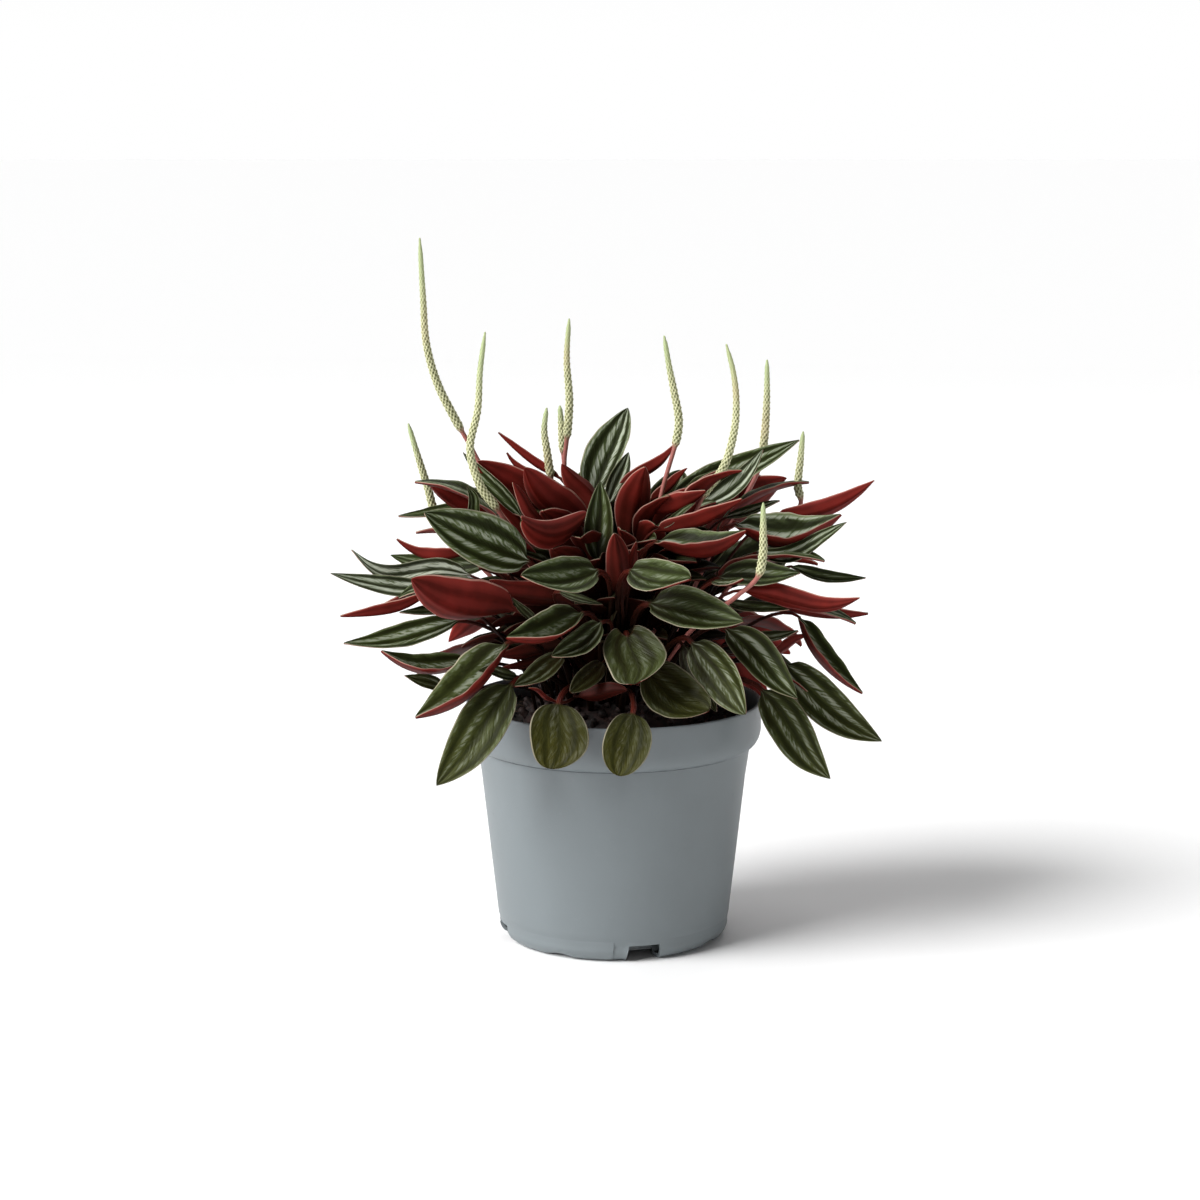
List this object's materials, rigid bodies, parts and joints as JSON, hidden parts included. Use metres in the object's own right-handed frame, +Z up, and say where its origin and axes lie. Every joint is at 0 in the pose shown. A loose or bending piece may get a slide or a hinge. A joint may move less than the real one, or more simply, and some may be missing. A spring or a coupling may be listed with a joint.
{
  "type": "potted ripple peperomia",
  "caption": "Potted foliage plant: a dome of narrow, ribbed leaves, dark green above and wine red below, on red stalks, with thin upright flower spikes, in a plain tapered nursery pot.",
  "frame": {"origin": "centre of the pot's underside, on the surface that the pot stands on", "axes": "+Z up along the pot's axis, -Y the plant's front, +X to the right as seen from the front"},
  "size_m": [0.213, 0.1602, 0.284],
  "materials": {
    "pot_plastic": "satin",
    "peat": "matte",
    "stem": "matte",
    "leaf": "satin",
    "spike": "matte"
  },
  "bodies": {
    "root": {"nursery_pot": "pot_plastic", "potting_soil": "peat", "crown": "stem", "leaf_01": "leaf", "leaf_02": "leaf", "leaf_03": "leaf", "leaf_04": "leaf", "leaf_05": "leaf", "leaf_06": "leaf", "leaf_07": "leaf", "leaf_08": "leaf", "leaf_09": "leaf", "leaf_10": "leaf", "leaf_11": "leaf", "leaf_12": "leaf", "leaf_13": "leaf", "leaf_14": "leaf", "leaf_15": "leaf", "leaf_16": "leaf", "leaf_17": "leaf", "leaf_18": "leaf", "leaf_19": "leaf", "leaf_20": "leaf", "leaf_21": "leaf", "leaf_22": "leaf", "leaf_23": "leaf", "leaf_24": "leaf", "leaf_25": "leaf", "leaf_26": "leaf", "leaf_27": "leaf", "leaf_28": "leaf", "leaf_29": "leaf", "leaf_30": "leaf", "leaf_31": "leaf", "leaf_32": "leaf", "leaf_33": "leaf", "leaf_34": "leaf", "leaf_35": "leaf", "leaf_36": "leaf", "leaf_37": "leaf", "leaf_38": "leaf", "leaf_39": "leaf", "leaf_40": "leaf", "leaf_41": "leaf", "leaf_42": "leaf", "leaf_43": "leaf", "leaf_44": "leaf", "leaf_45": "leaf", "leaf_46": "leaf", "flower_spike_01": "spike", "flower_spike_02": "spike", "flower_spike_03": "spike", "flower_spike_04": "spike", "flower_spike_05": "spike", "flower_spike_06": "spike", "flower_spike_07": "spike", "flower_spike_08": "spike", "flower_spike_09": "spike", "flower_spike_10": "spike", "flower_spike_11": "spike"}
  },
  "joints": []
}
